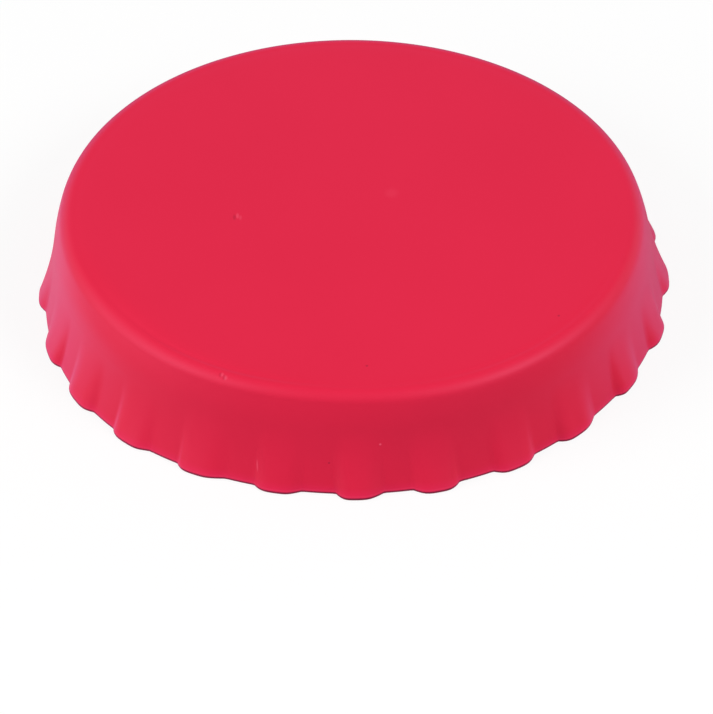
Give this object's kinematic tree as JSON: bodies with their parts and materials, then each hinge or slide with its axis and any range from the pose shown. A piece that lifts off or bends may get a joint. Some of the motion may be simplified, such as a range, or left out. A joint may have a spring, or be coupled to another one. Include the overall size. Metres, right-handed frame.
{
  "type": "can lid",
  "caption": "Round soft moulded lid with a flat top and a flared, fluted skirt, which snaps over the rolled seam of a drinks can to close it.",
  "frame": {"origin": "centre of the rim's plane, which is the bottom centre of the lid's box", "axes": "+Z along the lid's axis, from the open rim up to the flat top; one flute lies on each of -Y, +X, +Y and -X"},
  "size_m": [0.0632, 0.0632, 0.0108],
  "materials": {
    "silicone": "matte red moulded silicone"
  },
  "bodies": {
    "root": {"can_lid": "silicone"}
  },
  "joints": []
}
